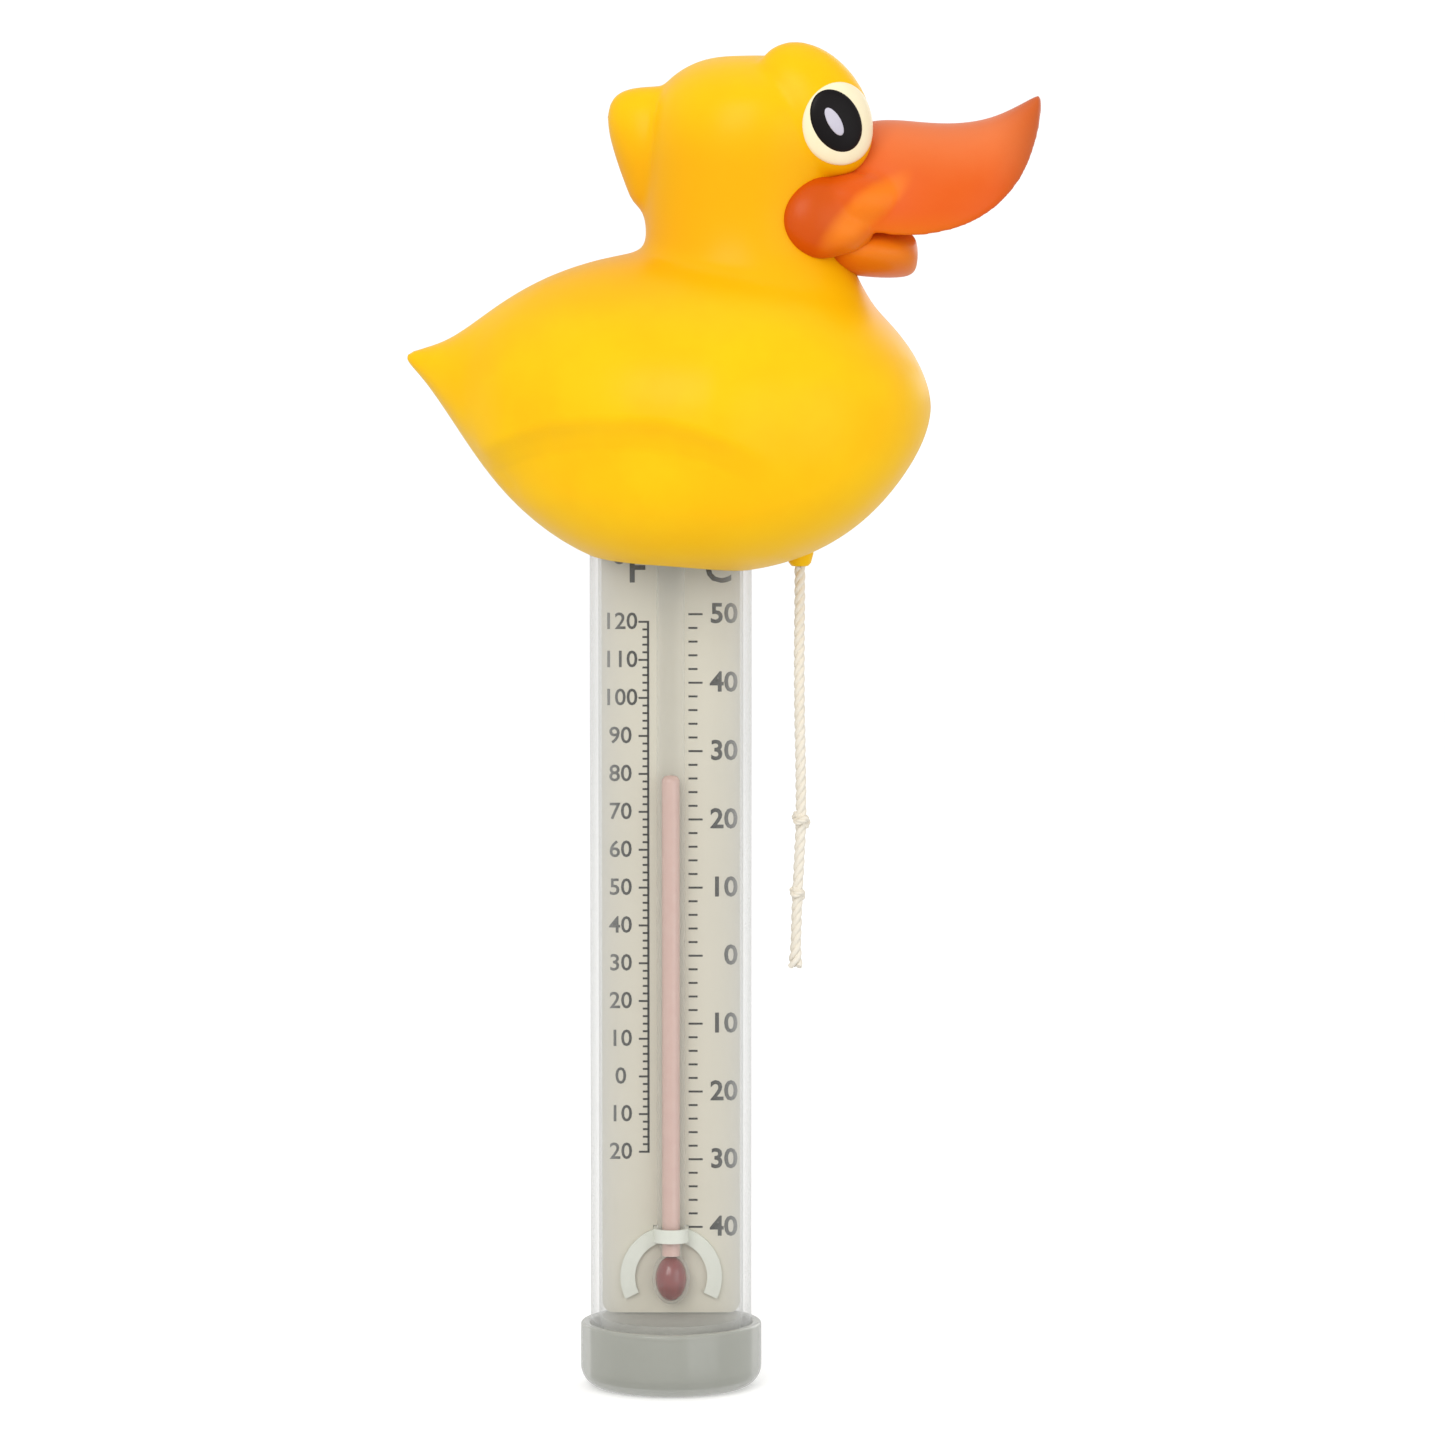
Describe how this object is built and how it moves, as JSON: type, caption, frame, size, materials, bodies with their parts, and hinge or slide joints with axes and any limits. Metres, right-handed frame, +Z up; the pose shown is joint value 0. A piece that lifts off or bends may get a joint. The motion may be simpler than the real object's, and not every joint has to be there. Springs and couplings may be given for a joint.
{
  "type": "floating pool thermometer",
  "caption": "Floating pool thermometer: hollow duck float pushed on a clear tube with a spirit stem on a scale card, weighted push-on base cap and a short knotted tether.",
  "frame": {"origin": "centre of the base cap's flat underside, where the thermometer stands", "axes": "+Z up along the tube's axis, +X the way the duck's bill points, +Y to the duck's left"},
  "size_m": [0.1111, 0.0655, 0.2367],
  "materials": {
    "duck_yellow": "satin moulded plastic",
    "bill_orange": "satin moulded plastic",
    "eye_cream": "gloss paint",
    "pupil_black": "gloss paint",
    "clear_plastic": "clear extruded plastic",
    "clear_cap": "translucent moulded plastic",
    "plug_plastic": "moulded plastic",
    "seal_rubber": "soft seal",
    "ballast_steel": "zinc plated",
    "foam_pad": "closed-cell foam",
    "printed_card": "printed card, semi-matt",
    "clip_metal": "thin strip",
    "stem_glass": "clear glass",
    "red_spirit": "dyed spirit",
    "cord_white": "braided polyester cord"
  },
  "bodies": {
    "end_cap": {"bottom_cap": "clear_cap", "cap_gasket": "seal_rubber", "ballast_weight": "ballast_steel", "ballast_pad": "foam_pad"},
    "thermometer": {"clear_tube": "clear_plastic", "top_plug": "plug_plastic", "plug_ring": "seal_rubber", "scale_card": "printed_card", "glass_stem": "stem_glass", "spirit_reservoir": "red_spirit", "stem_clip_lower": "clip_metal", "stem_clip_upper": "clip_metal"},
    "float": {"float_shell_left": "duck_yellow", "float_shell_right": "duck_yellow", "float_collar": "plug_plastic", "collar_ring": "seal_rubber", "bill_upper": "bill_orange", "bill_lower": "bill_orange", "eye_white_left": "eye_cream", "eye_white_right": "eye_cream", "pupil_left": "pupil_black", "pupil_right": "pupil_black", "tether_plug": "plug_plastic", "anchor_knot": "cord_white", "tether_cord": "cord_white", "tether_knot": "cord_white", "end_knot": "cord_white"},
    "spirit_level": {"spirit_column": "red_spirit"}
  },
  "joints": [
    {"name": "tube_lift", "type": "slide", "parent": "end_cap", "child": "thermometer", "axis": [0, 0, 1], "range_m": [0, 0.03]},
    {"name": "float_lift", "type": "slide", "parent": "thermometer", "child": "float", "axis": [0, 0, 1], "range_m": [0, 0.035]},
    {"name": "spirit_rise", "type": "slide", "parent": "thermometer", "child": "spirit_level", "axis": [0, 0, 1], "range_m": [-0.0806, 0.0282], "deforming": ["spirit_column"]}
  ]
}
